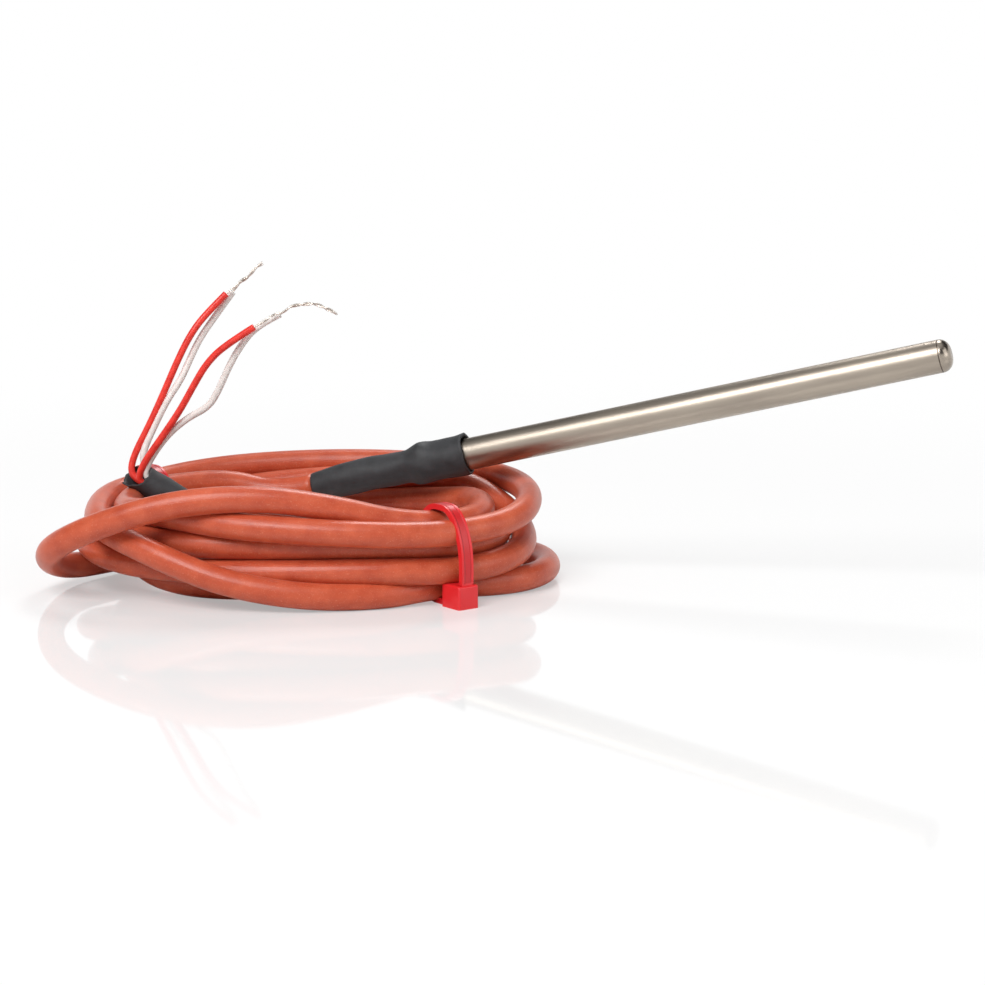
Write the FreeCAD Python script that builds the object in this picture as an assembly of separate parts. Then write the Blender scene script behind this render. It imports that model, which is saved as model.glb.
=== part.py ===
import FreeCAD, Part
import math
import os

# Cable temperature probe: a closed steel sheath with a resistance element in its tip, a silicone
# cable wound as a hank under two ties, and four leads whose bare ends lie together in pairs.
# Millimetres, Z up. The origin is on the sheath's axis, where the sheath leaves the black sleeve.
# X runs along the hank towards the sheath's tip, and Y points away from the viewer.

os.makedirs("parts", exist_ok=True)
Vector = FreeCAD.Vector
UP = Vector(0, 0, 1)
ALONG = Vector(1, 0, 0)

# Sheath, measured along its own axis from the sleeve's lip
SHEATH_DIAMETER = 6.0
SHEATH_WALL = 0.5
SHEATH_EXPOSED = 92.0
SHEATH_IN_SLEEVE = 8.0
DOME_HEIGHT = 2.0
TIP_WALL = 0.9
TIP_FLAT = 0.8
MOUTH_CHAMFER = 0.15
GROOVE_WIDTH = 1.5
GROOVE_DEPTH = 0.3

# How the probe lies on the hank, in millimetres and degrees
PROBE_HEIGHT = 22.5
PROBE_RISE = 13.8
PROBE_SWING = 15.4

# Cable, its cores and their bare strands; the cable slides into the sheath's bore
CABLE_CLEARANCE = 0.1
CABLE_IN_SHEATH = 5.0
LEAD_DIAMETER = 1.3
CORE_SPACING = 1.48
STRAND_DIAMETER = 0.6

# Heat-shrink sleeve on the probe
SLEEVE_WALL_ON_SHEATH = 0.8
SLEEVE_WALL_ON_CABLE = 0.65
SLEEVE_LENGTH = 31.0
SLEEVE_FLARE = 0.2
SLEEVE_FLARE_LENGTH = 3.0
SLEEVE_TAPER = 4.0
RIM_BULGE = 0.2

# Heat-shrink sleeve at the cable's far end. Its mouth is cut back by these slopes towards its top
# and towards the viewer.
END_SLEEVE_WALL = 0.25
END_SLEEVE_ON_CABLE = 6.0
END_SLEEVE_PAST_CABLE = 4.1
MOUTH_SLOPE_UP = 0.55
MOUTH_SLOPE_NEAR = 0.5
LEAD_ROOM = 3.0

# Inside the sheath
FIT_GAP = 0.05
ELEMENT_DIAMETER = 2.8
ELEMENT_LENGTH = 15.0
ELEMENT_TIP_GAP = 1.5
ELEMENT_ROUND = 0.4
WIRE_DIAMETER = 0.4
WIRE_LENGTH = 8.0
WIRE_IN_SPLICE = 1.5
SPLICE_DIAMETER = 1.0
SPLICE_LENGTH = 5.0
SPLICE_SPACING = 1.7
INSULATION_WALL = 0.2
SEAL_LENGTH = 12.0

# Hank of cable: a four-arc oval with a flat underside and a crown that rises to the back. Its
# middle lies behind the sleeve's lip and towards the viewer.
HANK_LENGTH = 85.0
HANK_DEPTH = 57.4
BUNDLE_WIDTH = 12.0
SIDE_BOW = 1.0
HANK_BEHIND_LIP = 28.4
HANK_TO_VIEWER = 7.9
FRONT_HEIGHT = 15.2
BACK_HEIGHT = 19.8
CROWN_RISE = 2.4
CROWN_ROUND = 4.2
FOOT_ROUND = 2.0
BED_GAP = 0.05

# Cable ties, each a strap and a head moulded in one piece. The front one stands in from the hank's
# right end and the back one in from its left end. Over a share of its height, each strap's outer side
# leans in over the bundle.
STRAP_WIDTH = 2.5
STRAP_THICKNESS = 1.0
STRAP_CORNER = 4.0
STRAP_SINK = 0.6
SHOULDER_SHARE = 0.6
SHOULDER_FULLNESS = 0.55
FRONT_TIE_FROM_END = 17.9
FRONT_TIE_OUTSET = 0.2
FRONT_TIE_TURN = 38.0
FRONT_TIE_TOP = 18.0
BACK_TIE_FROM_END = 11.5
BACK_TIE_OUTSET = 2.4
BACK_TIE_TURN = 45.0
BACK_TIE_TOP = 19.2
HEAD_WIDTH = 4.4
HEAD_LENGTH = 5.2
HEAD_HEIGHT = 4.2
HEAD_PROUD = 0.3
HEAD_ROUND = 0.4
SLOT_GAP = 0.3
SLOT_DEPTH = 1.2
TOOTH_PITCH = 1.2
TOOTH_DEPTH = 0.3
TOOTH_MARGIN = 0.4

# Cable from the sleeve's mouth back into the hank
LEAD_OUT_STRAIGHT = 8.0
LEAD_OUT_ROUTE = [(-45.0, 12.0, -9.8), (-53.6, 10.8, -9.4)]

# Loose loop: out of the hank's back left, round the front and along the top into the right end
LOOSE_ROUTE = [
    (-60.6, 4.7, -19.9),
    (-66.2, -1.2, -19.9),
    (-73.4, -10.2, -19.4),
    (-76.8, -19.6, -15.9),
    (-73.0, -27.6, -11.0),
    (-63.0, -30.8, -6.2),
    (-50.5, -31.6, -3.4),
    (-37.0, -31.9, -2.9),
    (-24.0, -31.4, -4.8),
    (-11.6, -29.8, -8.6),
    (-0.8, -23.2, -9.2),
    (4.2, -10.8, -8.2),
    (1.6, 1.6, -7.6),
]

# Tail: up out of the hank's back to the cable's end in the end sleeve
TAIL_ROUTE = [
    (-28.0, 12.6, -16.6),
    (-38.6, 6.6, -16.2),
    (-48.6, 0.6, -12.3),
    (-58.3, 0.0, -6.2),
]

# Leads: a first run in line with the cable's end, then on to where they are stripped
RED_FIRST_RUN = 2.4
WHITE_FIRST_RUN = 3.2
RED_A_ROUTE = [
    (-62.6, 0.8, -3.4),
    (-63.3, 1.0, -0.4),
    (-60.6, 2.4, 5.1),
    (-54.6, 5.0, 16.6),
    (-46.0, 8.2, 28.9),
]
WHITE_A_ROUTE = [
    (-61.6, 0.9, -2.0),
    (-61.4, 1.9, 0.6),
    (-58.8, 3.3, 4.9),
    (-54.0, 6.0, 13.0),
    (-44.4, 9.8, 29.0),
]
RED_B_ROUTE = [
    (-62.6, -0.9, -3.2),
    (-62.5, -1.1, -0.3),
    (-58.8, -1.5, 4.5),
    (-50.4, -2.0, 14.0),
    (-44.8, -2.8, 20.6),
    (-39.8, -3.6, 23.9),
]
WHITE_B_ROUTE = [
    (-61.3, -0.6, -1.7),
    (-60.2, -0.3, 1.0),
    (-56.0, 0.3, 5.0),
    (-48.8, -0.1, 9.6),
    (-44.4, -0.6, 16.2),
    (-41.6, -1.0, 21.2),
    (-36.0, -1.8, 25.4),
]
BARE_A_TIP = (-38.4, 9.6, 35.0)
BARE_B_TIP = (-24.1, -3.4, 26.4)


def sheath_radius():
    return SHEATH_DIAMETER / 2


def bore_radius():
    return sheath_radius() - SHEATH_WALL


def cable_radius():
    return bore_radius() - CABLE_CLEARANCE


def cable_diameter():
    return 2 * cable_radius()


def core_offset():
    return CORE_SPACING / 2


def dome_start():
    return SHEATH_EXPOSED - DOME_HEIGHT


def cable_start():
    return CABLE_IN_SHEATH - SHEATH_IN_SLEEVE


def hank_floor():
    return -PROBE_HEIGHT


def probe_placement():
    swing = FreeCAD.Rotation(UP, -PROBE_SWING)
    rise = FreeCAD.Rotation(Vector(0, 1, 0), -PROBE_RISE)
    return FreeCAD.Placement(Vector(0, 0, 0), swing.multiply(rise))


def on_probe(shape):
    placed = shape.copy()
    placed.Placement = probe_placement().multiply(placed.Placement)
    return placed


def probe_point(distance):
    return probe_placement().multVec(Vector(distance, 0, 0))


def rod(start, end, radius, y=0.0, z=0.0):
    return Part.makeCylinder(radius, end - start, Vector(start, y, z), ALONG)


def line(a, b):
    return Part.LineSegment(a, b).toShape()


def turned(edges):
    face = Part.Face(Part.Wire(edges))
    return face.revolve(Vector(0, 0, 0), ALONG, 360)


def quarter_dome(start, radius, height):
    # Quarter ellipse from the wall to the small flat disc at the tip
    centre = Vector(start, 0, TIP_FLAT)
    ellipse = Part.Ellipse(Vector(start, 0, radius), Vector(start + height, 0, TIP_FLAT), centre)
    return Part.ArcOfEllipse(ellipse, 0, math.pi / 2).toShape()


def make_sheath():
    radius = sheath_radius()
    bore = bore_radius()
    groove = radius - GROOVE_DEPTH
    mouth = -SHEATH_IN_SLEEVE
    tip = SHEATH_EXPOSED
    edges = [
        line(Vector(mouth, 0, bore), Vector(mouth, 0, radius - MOUTH_CHAMFER)),
        line(Vector(mouth, 0, radius - MOUTH_CHAMFER), Vector(mouth + MOUTH_CHAMFER, 0, radius)),
        line(Vector(mouth + MOUTH_CHAMFER, 0, radius), Vector(-GROOVE_WIDTH, 0, radius)),
        line(Vector(-GROOVE_WIDTH, 0, radius), Vector(-GROOVE_WIDTH, 0, groove)),
        line(Vector(-GROOVE_WIDTH, 0, groove), Vector(0, 0, groove)),
        line(Vector(0, 0, groove), Vector(0, 0, radius)),
        line(Vector(0, 0, radius), Vector(dome_start(), 0, radius)),
        quarter_dome(dome_start(), radius, DOME_HEIGHT),
        line(Vector(tip, 0, TIP_FLAT), Vector(tip, 0, 0)),
        line(Vector(tip, 0, 0), Vector(tip - TIP_WALL, 0, 0)),
        line(Vector(tip - TIP_WALL, 0, 0), Vector(tip - TIP_WALL, 0, TIP_FLAT)),
        quarter_dome(dome_start(), bore, DOME_HEIGHT - TIP_WALL),
        line(Vector(dome_start(), 0, bore), Vector(mouth, 0, bore)),
    ]
    return turned(edges)


def sleeve_wall(on_sheath, on_cable):
    # A line over the flared lip, the sheath, the step down and the cable, this far outside them
    over_sheath = sheath_radius() + FIT_GAP + on_sheath
    over_cable = cable_radius() + FIT_GAP + on_cable
    lip = -RIM_BULGE
    step = -SHEATH_IN_SLEEVE
    foot = step - SLEEVE_TAPER
    end = RIM_BULGE - SLEEVE_LENGTH
    flare_end = -SLEEVE_FLARE_LENGTH
    flare = Part.BezierCurve()
    flare.setPoles([
        Vector(lip, 0, over_sheath + SLEEVE_FLARE),
        Vector((lip + flare_end) / 2, 0, over_sheath),
        Vector(flare_end, 0, over_sheath),
    ])
    middle = (step + foot) / 2
    shoulder = Part.BezierCurve()
    shoulder.setPoles([
        Vector(step, 0, over_sheath),
        Vector(middle, 0, over_sheath),
        Vector(middle, 0, over_cable),
        Vector(foot, 0, over_cable),
    ])
    return [
        flare.toShape(),
        line(Vector(flare_end, 0, over_sheath), Vector(step, 0, over_sheath)),
        shoulder.toShape(),
        line(Vector(foot, 0, over_cable), Vector(end, 0, over_cable)),
    ]


def rim(inner, outer, bulge):
    middle = (inner + outer) / 2 + Vector(bulge, 0, 0)
    return Part.Arc(inner, middle, outer).toShape()


def make_probe_sleeve():
    inner = sleeve_wall(0, 0)
    outer = sleeve_wall(SLEEVE_WALL_ON_SHEATH, SLEEVE_WALL_ON_CABLE)
    lip = rim(inner[0].Vertexes[0].Point, outer[0].Vertexes[0].Point, RIM_BULGE)
    end = rim(inner[-1].Vertexes[-1].Point, outer[-1].Vertexes[-1].Point, -RIM_BULGE)
    edges = Part.__sortEdges__(inner + outer + [lip, end])
    return turned(edges)


def element_end():
    return SHEATH_EXPOSED - TIP_WALL - ELEMENT_TIP_GAP


def element_start():
    return element_end() - ELEMENT_LENGTH


def wire_end():
    return element_start() - WIRE_LENGTH


def splice_start():
    return wire_end() + WIRE_IN_SPLICE - SPLICE_LENGTH


def make_sensing_element():
    body = rod(element_start(), element_end(), ELEMENT_DIAMETER / 2)
    rims = [edge for edge in body.Edges if edge.Closed]
    return body.makeFillet(ELEMENT_ROUND, rims)


def element_wire(side):
    return rod(wire_end(), element_start(), WIRE_DIAMETER / 2, side * SPLICE_SPACING / 2)


def make_splice(side):
    body = rod(splice_start(), splice_start() + SPLICE_LENGTH, SPLICE_DIAMETER / 2, side * SPLICE_SPACING / 2)
    hole = rod(wire_end(), splice_start() + SPLICE_LENGTH, WIRE_DIAMETER / 2, side * SPLICE_SPACING / 2)
    return body.cut(hole)


def insulation_bore():
    return SPLICE_DIAMETER / 2 + FIT_GAP / 2


def make_insulation(side, clearance=0.0):
    start = splice_start()
    end = start + SPLICE_LENGTH
    outside = rod(start, end, insulation_bore() + INSULATION_WALL + clearance, side * SPLICE_SPACING / 2)
    if clearance:
        return outside
    return outside.cut(rod(start, end, insulation_bore(), side * SPLICE_SPACING / 2))


def make_core(side, level):
    radius = LEAD_DIAMETER / 2
    return rod(cable_start(), splice_start(), radius, side * core_offset(), level * core_offset())


def core_holes(start, end):
    radius = LEAD_DIAMETER / 2 + FIT_GAP / 2
    corners = [(-1, -1), (-1, 1), (1, -1), (1, 1)]
    holes = [rod(start, end, radius, y * core_offset(), z * core_offset()) for y, z in corners]
    return holes[0].multiFuse(holes[1:])


def seal_end():
    return cable_start() + SEAL_LENGTH


def make_rear_seal():
    body = rod(cable_start(), seal_end(), bore_radius() - FIT_GAP)
    return body.cut(core_holes(cable_start(), seal_end()))


def make_filling():
    # Powder packed round the cores, splices, wires and element, from the seal to the dome
    body = rod(seal_end(), dome_start(), bore_radius() - FIT_GAP)
    pocket = rod(element_start() - FIT_GAP, dome_start(), ELEMENT_DIAMETER / 2 + FIT_GAP)
    hole = WIRE_DIAMETER / 2 + FIT_GAP
    holes = [rod(splice_start(), element_start(), hole, side * SPLICE_SPACING / 2) for side in (-1, 1)]
    tubes = [make_insulation(side, FIT_GAP) for side in (-1, 1)]
    return body.cut(pocket.multiFuse(holes + tubes)).cut(core_holes(seal_end(), splice_start()))


def make_cable_in_sleeve():
    return rod(-SLEEVE_LENGTH, cable_start(), cable_radius())


def points(route):
    return [Vector(*point) for point in route]


def corner(before, here, after):
    # Largest arc that the two runs allow, as its start, middle, end and radius
    into = here - before
    out = after - here
    reach = 0.45 * min(into.Length, out.Length)
    into.normalize()
    out.normalize()
    turn = into.getAngle(out)
    radius = reach / math.tan(turn / 2)
    start = here - into * reach
    end = here + out * reach
    inward = (out - into).normalize()
    depth = radius / math.cos(turn / 2) - radius
    return start, here + inward * depth, end, radius


def tube(name, route, diameter):
    # Straight runs joined by tangent arcs, swept with a round section
    edges = []
    radii = []
    place = route[0]
    for before, here, after in zip(route, route[1:], route[2:]):
        start, middle, end, radius = corner(before, here, after)
        edges.append(line(place, start))
        edges.append(Part.Arc(start, middle, end).toShape())
        radii.append(radius)
        place = end
    edges.append(line(place, route[-1]))
    spine = Part.Wire(edges)
    section = Part.Wire(Part.makeCircle(diameter / 2, route[0], route[1] - route[0]))
    solid = spine.makePipeShell([section], True, False)
    if name:
        report_tube(name, solid, spine.Length, diameter, radii)
    return solid


def report_tube(name, solid, length, diameter, radii):
    expected = math.pi * (diameter / 2) ** 2 * length
    listed = ", ".join("%.1f" % radius for radius in radii)
    print("%s: length %.1f, volume %.4f of section x length" % (name, length, solid.Volume / expected))
    print("    radii %s, smallest %.1f diameters" % (listed, min(radii) / diameter))


def lead_out_route():
    mouth = probe_point(-SLEEVE_LENGTH)
    straight = probe_point(-SLEEVE_LENGTH - LEAD_OUT_STRAIGHT)
    return [mouth, straight] + points(LEAD_OUT_ROUTE)


def end_direction():
    route = points(TAIL_ROUTE)
    return (route[-1] - route[-2]).normalize()


def end_sleeve_rod(radius, room):
    # A rod along the end sleeve, longer than it by the room for the leads
    cable_end = points(TAIL_ROUTE)[-1]
    direction = end_direction()
    start = cable_end - direction * END_SLEEVE_ON_CABLE
    length = END_SLEEVE_ON_CABLE + END_SLEEVE_PAST_CABLE + room
    return Part.makeCylinder(radius, length, start, direction)


def end_across():
    return end_direction().cross(UP).normalize()


def end_above():
    return end_across().cross(end_direction()).normalize()


def beyond_mouth():
    # Everything past the end sleeve's slanted mouth
    facing = (end_direction() + end_above() * MOUTH_SLOPE_UP - Vector(0, MOUTH_SLOPE_NEAR, 0)).normalize()
    centre = points(TAIL_ROUTE)[-1] + end_direction() * END_SLEEVE_PAST_CABLE
    return Part.makeCylinder(SLEEVE_LENGTH, SLEEVE_LENGTH, centre, facing)


def make_end_sleeve():
    bore = cable_radius() + FIT_GAP
    spare = 2 * cable_radius()
    tube_wall = end_sleeve_rod(bore + END_SLEEVE_WALL, spare).cut(end_sleeve_rod(bore, spare))
    return tube_wall.cut(beyond_mouth())


def end_sleeve_bed():
    return end_sleeve_rod(cable_radius() + FIT_GAP + END_SLEEVE_WALL + BED_GAP, LEAD_ROOM)


def lead_start(side, level):
    # Four cores sit square in the cable's end
    offset = end_across() * side + end_above() * level
    return points(TAIL_ROUTE)[-1] + offset * core_offset()


def lead_route(side, level, route):
    start = lead_start(side, level)
    first_run = RED_FIRST_RUN if level < 0 else WHITE_FIRST_RUN
    return [start, start + end_direction() * first_run] + points(route)


def bare_route(lead, tip, shift):
    # The bare strand leaves its lead in line and ends beside its partner at the tip
    end = lead[-1]
    heading = (lead[-1] - lead[-2]).normalize()
    target = Vector(*tip) + Vector(0, shift, 0)
    reach = (target - end).Length / 2
    return [end, end + heading * reach, target]


def end_radius():
    return HANK_DEPTH / 2 - SIDE_BOW


def end_centre():
    return HANK_LENGTH / 2 - end_radius()


def side_radius():
    # Radius of the oval's long sides, which meet its end arcs smoothly
    half_depth = HANK_DEPTH / 2
    return (end_centre() ** 2 + half_depth ** 2 - end_radius() ** 2) / (2 * (half_depth - end_radius()))


def hank_base():
    return Vector(-HANK_BEHIND_LIP, -HANK_TO_VIEWER, hank_floor())


def oval(inset):
    slope = math.atan2(end_centre(), side_radius() - HANK_DEPTH / 2)
    radius = end_radius() - inset
    x = end_centre() + radius * math.sin(slope)
    y = radius * math.cos(slope)
    tip = HANK_LENGTH / 2 - inset
    top = HANK_DEPTH / 2 - inset
    base = hank_base()
    arcs = [
        Part.Arc(base + Vector(-x, -y, 0), base + Vector(0, -top, 0), base + Vector(x, -y, 0)),
        Part.Arc(base + Vector(x, -y, 0), base + Vector(tip, 0, 0), base + Vector(x, y, 0)),
        Part.Arc(base + Vector(x, y, 0), base + Vector(0, top, 0), base + Vector(-x, y, 0)),
        Part.Arc(base + Vector(-x, y, 0), base + Vector(-tip, 0, 0), base + Vector(-x, -y, 0)),
    ]
    return Part.Wire([arc.toShape() for arc in arcs])


def crown_height(x, y):
    # Height of the hank's top above its underside, at x and y from its middle
    middle = (FRONT_HEIGHT + BACK_HEIGHT) / 2
    return middle + (BACK_HEIGHT - FRONT_HEIGHT) * y / HANK_DEPTH + CROWN_RISE * x / HANK_LENGTH


def below_crown():
    # Everything under the sloping plane that trims the hank's top
    base = hank_base()
    x = HANK_LENGTH
    y = HANK_DEPTH
    signs = [(-1, -1), (1, -1), (1, 1), (-1, 1), (-1, -1)]
    outline = [base + Vector(i * x, j * y, crown_height(i * x, j * y)) for i, j in signs]
    return Part.Face(Part.makePolygon(outline)).extrude(UP * (-2 * BACK_HEIGHT - BUNDLE_WIDTH))


def make_hank_body():
    ring = Part.Face(oval(0)).cut(Part.Face(oval(BUNDLE_WIDTH)))
    block = ring.extrude(UP * (BACK_HEIGHT + BUNDLE_WIDTH))
    body = block.common(below_crown())
    floor = hank_floor()
    foot = [edge for edge in body.Edges if edge.BoundBox.ZMax < floor + 0.01]
    body = body.makeFillet(FOOT_ROUND, foot)
    crown = [edge for edge in body.Edges if edge.BoundBox.ZMin > floor + FRONT_HEIGHT / 2]
    return body.makeFillet(CROWN_ROUND, crown)


def middle_line(offset):
    # Distance from the hank's long axis to its bundle's middle line, at an offset along that axis
    side_centre = side_radius() - HANK_DEPTH / 2
    side_middle = side_radius() - BUNDLE_WIDTH / 2
    end_middle = end_radius() - BUNDLE_WIDTH / 2
    joint = side_middle * math.sin(math.atan2(end_centre(), side_centre))
    if abs(offset) < joint:
        return math.sqrt(side_middle ** 2 - offset ** 2) - side_centre
    return math.sqrt(end_middle ** 2 - (abs(offset) - end_centre()) ** 2)


def tie_frame(at_front):
    # Placement whose X points out of the hank, Y along the bundle and Z up, by the middle line
    from_end = FRONT_TIE_FROM_END if at_front else BACK_TIE_FROM_END
    offset = HANK_LENGTH / 2 - from_end if at_front else from_end - HANK_LENGTH / 2
    outset = FRONT_TIE_OUTSET if at_front else BACK_TIE_OUTSET
    y = -middle_line(offset) if at_front else middle_line(offset)
    angle = FRONT_TIE_TURN - 90 if at_front else BACK_TIE_TURN + 90
    turn = FreeCAD.Rotation(UP, angle)
    return FreeCAD.Placement(hank_base() + Vector(offset, y, 0) + turn.multVec(ALONG) * outset, turn)


def strap_half():
    return BUNDLE_WIDTH / 2 - STRAP_SINK


def shoulder_height(top):
    # Where the strap's outer side leaves the upright and leans in over the bundle
    return top - STRAP_THICKNESS - SHOULDER_SHARE * (top - 2 * STRAP_THICKNESS)


def strap_line(outset, top):
    # The strap's line round the bundle's section, from its head over the crest and down the inside
    half = strap_half() + outset
    radius = STRAP_CORNER + outset
    high = top - STRAP_THICKNESS + outset
    shoulder = shoulder_height(top)
    slant = math.sqrt(0.5) * radius
    lean = Part.BezierCurve()
    lean.setPoles([
        Vector(half, 0, shoulder),
        Vector(half, 0, shoulder + SHOULDER_FULLNESS * (high - shoulder)),
        Vector(SHOULDER_FULLNESS * half, 0, high),
        Vector(0, 0, high),
    ])
    bend = Part.Arc(
        Vector(radius - half, 0, high),
        Vector(radius - half - slant, 0, high - radius + slant),
        Vector(-half, 0, high - radius),
    )
    return [
        line(Vector(half, 0, STRAP_THICKNESS + STRAP_CORNER), Vector(half, 0, shoulder)),
        lean.toShape(),
        line(Vector(0, 0, high), Vector(radius - half, 0, high)),
        bend.toShape(),
        line(Vector(-half, 0, high - radius), Vector(-half, 0, STRAP_THICKNESS + STRAP_CORNER)),
    ]


def strap_foot(outset):
    # The rest of the loop, under the bundle
    half = strap_half() + outset
    radius = STRAP_CORNER + outset
    low = STRAP_THICKNESS - outset
    slant = math.sqrt(0.5) * radius
    edges = [line(Vector(radius - half, 0, low), Vector(half - radius, 0, low))]
    for side in (-1, 1):
        start = Vector(side * (half - radius), 0, low)
        middle = Vector(side * (half - radius + slant), 0, low + radius - slant)
        edges.append(Part.Arc(start, middle, Vector(side * half, 0, low + radius)).toShape())
    return edges


def strap_loop(outset, top, width):
    # The loop as a block as deep as the strap is wide
    outline = Part.Wire(Part.__sortEdges__(strap_line(outset, top) + strap_foot(outset)))
    block = Part.Face(outline).extrude(Vector(0, width, 0))
    block.translate(Vector(0, -width / 2, 0))
    return block


def tooth_cuts(top):
    # Grooves across the strap's inner face, square to it
    inner = Part.Wire(strap_line(0, top))
    places = inner.discretize(Distance=TOOTH_PITCH)
    width = STRAP_WIDTH - 2 * TOOTH_MARGIN
    groove = TOOTH_PITCH / 2
    cuts = []
    for before, here, after in zip(places, places[1:], places[2:]):
        cut = Part.makeBox(groove, width, 2 * TOOTH_DEPTH, Vector(-groove / 2, -width / 2, -TOOTH_DEPTH))
        cut.Placement = FreeCAD.Placement(here, FreeCAD.Rotation(-ALONG, after - before))
        cuts.append(cut)
    return cuts


def head_front():
    return BUNDLE_WIDTH / 2 - STRAP_SINK + STRAP_THICKNESS + HEAD_PROUD


def head_block(clearance):
    length = HEAD_LENGTH + 2 * clearance
    width = HEAD_WIDTH + 2 * clearance
    corner_point = Vector(head_front() + clearance - length, -width / 2, 0)
    return Part.makeBox(length, width, HEAD_HEIGHT + clearance, corner_point)


def strap_slot():
    # Recess round the strap where it goes down into the head
    inner = BUNDLE_WIDTH / 2 - STRAP_SINK
    level = HEAD_HEIGHT - SLOT_DEPTH
    width = STRAP_WIDTH + 2 * SLOT_GAP
    corner_point = Vector(inner - SLOT_GAP, -width / 2, level)
    recess = Part.makeBox(STRAP_THICKNESS + SLOT_GAP, width, SLOT_DEPTH, corner_point)
    strap_corner = Vector(inner, -STRAP_WIDTH / 2, level)
    return recess.cut(Part.makeBox(STRAP_THICKNESS, STRAP_WIDTH, SLOT_DEPTH, strap_corner))


def make_tie(at_front, top):
    loop = strap_loop(STRAP_THICKNESS, top, STRAP_WIDTH).cut(strap_loop(0, top, 2 * STRAP_WIDTH))
    loop = loop.cut(tooth_cuts(top))
    block = head_block(0)
    rims = [edge for edge in block.Edges if edge.BoundBox.ZMax > HEAD_HEIGHT / 2]
    head = block.makeFillet(HEAD_ROUND, rims).cut(strap_slot())
    tie = loop.fuse(head).removeSplitter()
    return at_tie(tie, at_front)


def at_tie(shape, at_front):
    placed = shape.copy()
    placed.Placement = tie_frame(at_front).multiply(placed.Placement)
    return placed


def tie_bed(at_front, top):
    # What a tie takes out of the hank: all outside the strap's inner face, and the head's pocket
    reach = BUNDLE_WIDTH
    width = STRAP_WIDTH + 2 * BED_GAP
    slab = Part.makeBox(2 * reach, width, 2 * top, Vector(-reach, -width / 2, -top / 2))
    groove = slab.cut(strap_loop(-BED_GAP, top, 2 * STRAP_WIDTH))
    return at_tie(groove.fuse(head_block(BED_GAP)), at_front)


def make_hank(beds):
    hank = make_hank_body()
    for bed in beds:
        hank = hank.cut(bed)
    return max(hank.Solids, key=lambda solid: solid.Volume)


def write(name, shape):
    shape.exportStep("parts/%s.step" % name)
    print("%-22s solids %d valid %s volume %.1f" % (name, len(shape.Solids), shape.isValid(), shape.Volume))


def write_probe():
    write("sheath", on_probe(make_sheath()))
    write("probe_sleeve", on_probe(make_probe_sleeve()))
    write("sensing_element", on_probe(make_sensing_element()))
    write("element_wires", on_probe(Part.Compound([element_wire(-1), element_wire(1)])))
    write("splice_a", on_probe(make_splice(-1)))
    write("splice_b", on_probe(make_splice(1)))
    write("splice_tube_a", on_probe(make_insulation(-1)))
    write("splice_tube_b", on_probe(make_insulation(1)))
    write("red_core_a", on_probe(make_core(-1, 1)))
    write("white_core_a", on_probe(make_core(-1, -1)))
    write("red_core_b", on_probe(make_core(1, 1)))
    write("white_core_b", on_probe(make_core(1, -1)))
    write("filling", on_probe(make_filling()))
    write("rear_seal", on_probe(make_rear_seal()))


def write_cable():
    diameter = cable_diameter()
    wide = diameter + 2 * BED_GAP
    loose = points(LOOSE_ROUTE)
    tail = points(TAIL_ROUTE)
    lip_radius = sheath_radius() + SLEEVE_FLARE + SLEEVE_WALL_ON_SHEATH
    trough = on_probe(rod(-SLEEVE_LENGTH - BED_GAP, HANK_LENGTH / 2, lip_radius + 2 * BED_GAP))
    beds = [
        trough,
        tube("", lead_out_route(), wide),
        tube("", loose, wide),
        tube("", tail, wide),
        end_sleeve_bed(),
        tie_bed(True, FRONT_TIE_TOP),
        tie_bed(False, BACK_TIE_TOP),
    ]
    write("cable_in_sleeve", on_probe(make_cable_in_sleeve()))
    write("cable_lead_out", tube("lead_out", lead_out_route(), diameter))
    write("cable_loose_loop", tube("loose_loop", loose, diameter))
    write("cable_tail", tube("tail", tail, diameter))
    write("cable_hank", make_hank(beds))
    write("end_sleeve", make_end_sleeve())
    write("tie_front", make_tie(True, FRONT_TIE_TOP))
    write("tie_back", make_tie(False, BACK_TIE_TOP))


def write_lead(name, side, level, route, tip, shift):
    lead = lead_route(side, level, route)
    write(name, tube(name, lead, LEAD_DIAMETER))
    bare = bare_route(lead, tip, shift)
    write("bare_" + name, tube("bare_" + name, bare, STRAND_DIAMETER))


def write_leads():
    beside = STRAND_DIAMETER / 2 + FIT_GAP
    write_lead("red_lead_a", 1, -1, RED_A_ROUTE, BARE_A_TIP, -beside)
    write_lead("white_lead_a", 1, 1, WHITE_A_ROUTE, BARE_A_TIP, beside)
    write_lead("red_lead_b", -1, -1, RED_B_ROUTE, BARE_B_TIP, -beside)
    write_lead("white_lead_b", -1, 1, WHITE_B_ROUTE, BARE_B_TIP, beside)


write_probe()
write_cable()
write_leads()
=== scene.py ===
"""Looks of the cable temperature probe: the wound cable, its sleeves, ties and leads, and a plain studio."""

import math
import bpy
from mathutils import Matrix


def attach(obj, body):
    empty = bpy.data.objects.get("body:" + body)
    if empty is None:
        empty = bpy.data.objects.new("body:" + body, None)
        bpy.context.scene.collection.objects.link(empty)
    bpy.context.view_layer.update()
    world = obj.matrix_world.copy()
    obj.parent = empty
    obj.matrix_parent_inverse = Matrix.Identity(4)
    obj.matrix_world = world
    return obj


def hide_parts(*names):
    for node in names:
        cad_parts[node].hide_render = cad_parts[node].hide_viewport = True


bl_info = {
    "name": "Cable temperature probe",
    "version": (1, 0, 0),
    "blender": (4, 5, 0),
    "location": "3D View > Sidebar > Probe",
    "description": "Builds a cable temperature probe on its hank of silicone cable",
    "category": "Object",
}

import bpy
import numpy as np
from bpy.props import FloatProperty, FloatVectorProperty, IntProperty, PointerProperty
from mathutils import Euler

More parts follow.
